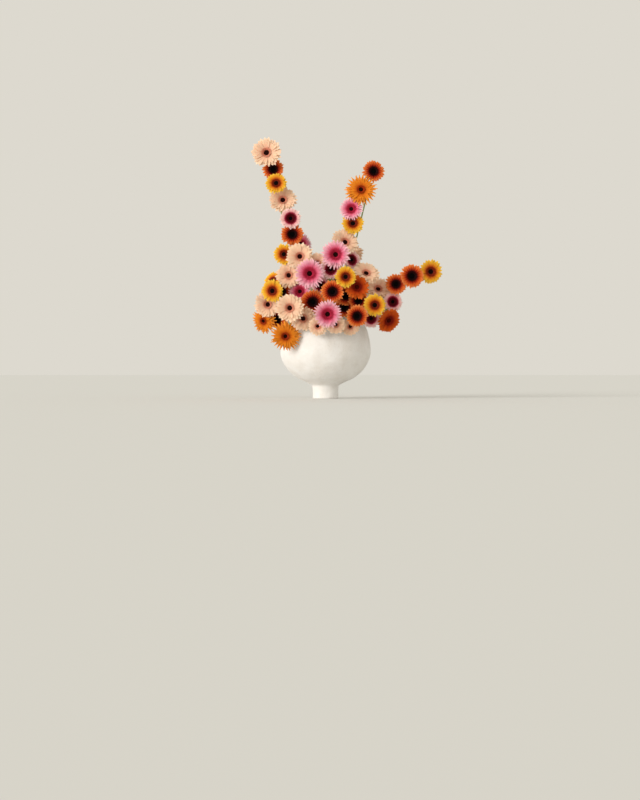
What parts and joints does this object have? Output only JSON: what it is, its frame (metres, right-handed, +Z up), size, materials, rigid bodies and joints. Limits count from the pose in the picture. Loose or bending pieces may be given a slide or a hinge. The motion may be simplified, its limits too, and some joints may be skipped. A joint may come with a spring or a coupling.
{
  "type": "gerberas in a footed globe vase",
  "caption": "Cut gerberas arranged as a dome with two spires and a side arm, standing in a round footed ceramic vase for display.",
  "frame": {"origin": "centre of the vase's foot, on the surface it stands on", "axes": "+Z up; the arrangement faces -Y, with its side arm reaching to +X"},
  "size_m": [0.6026, 0.3475, 0.8191],
  "materials": {
    "vase": "matt, hand-formed, unglazed off-white",
    "peach": "petals, soft satin, cream to peach with a salmon ring",
    "pink": "petals, soft satin, pale pink tips and a magenta ring",
    "orange": "petals, soft satin, golden orange",
    "tangerine": "petals, soft satin, deep burnt orange",
    "rust": "petals, soft satin, rust with light orange tips",
    "yellow": "petals, soft satin, golden yellow with a rust ring",
    "blush": "petals, soft satin, pale pink with a maroon heart",
    "stem_green": "fresh stem, satin",
    "eye": "dark centre florets, matt"
  },
  "bodies": {
    "root": {"gerbera_01_peach": "peach", "gerbera_02_yellow": "yellow", "gerbera_03_blush": "blush", "gerbera_04_peach": "peach", "gerbera_05_rust": "rust", "gerbera_06_rust": "rust", "gerbera_07_pink": "pink", "gerbera_08_orange": "orange", "gerbera_09_rust": "rust", "gerbera_10_pink": "pink", "gerbera_11_yellow": "yellow", "gerbera_12_rust": "rust", "gerbera_13_yellow": "yellow", "gerbera_14_rust": "rust", "gerbera_15_pink": "pink", "gerbera_16_pink": "pink", "gerbera_17_peach": "peach", "gerbera_18_yellow": "yellow", "gerbera_19_rust": "rust", "gerbera_20_peach": "peach", "gerbera_21_yellow": "yellow", "gerbera_22_pink": "pink", "gerbera_23_yellow": "yellow", "gerbera_24_rust": "rust", "gerbera_25_peach": "peach", "gerbera_26_peach": "peach", "gerbera_27_peach": "peach", "gerbera_28_orange": "orange", "gerbera_29_yellow": "yellow", "gerbera_30_peach": "peach", "gerbera_31_peach": "peach", "gerbera_32_rust": "rust", "gerbera_33_tangerine": "tangerine", "gerbera_34_peach": "peach", "gerbera_35_peach": "peach", "gerbera_36_blush": "blush", "gerbera_37_orange": "orange", "gerbera_38_pink": "pink", "gerbera_39_blush": "blush", "gerbera_40_rust": "rust", "gerbera_41_rust": "rust", "gerbera_42_tangerine": "tangerine", "gerbera_43_peach": "peach", "gerbera_44_blush": "blush", "gerbera_45_peach": "peach", "gerbera_46_blush": "blush", "gerbera_47_yellow": "yellow", "gerbera_48_blush": "blush", "gerbera_49_peach": "peach", "gerbera_50_peach": "peach", "gerbera_51_orange": "orange", "gerbera_52_pink": "pink", "gerbera_53_tangerine": "tangerine", "gerbera_54_peach": "peach", "gerbera_55_yellow": "yellow", "gerbera_56_rust": "rust", "gerbera_57_blush": "blush", "gerbera_58_yellow": "yellow", "gerbera_59_peach": "peach", "vase": "vase"}
  },
  "joints": []
}
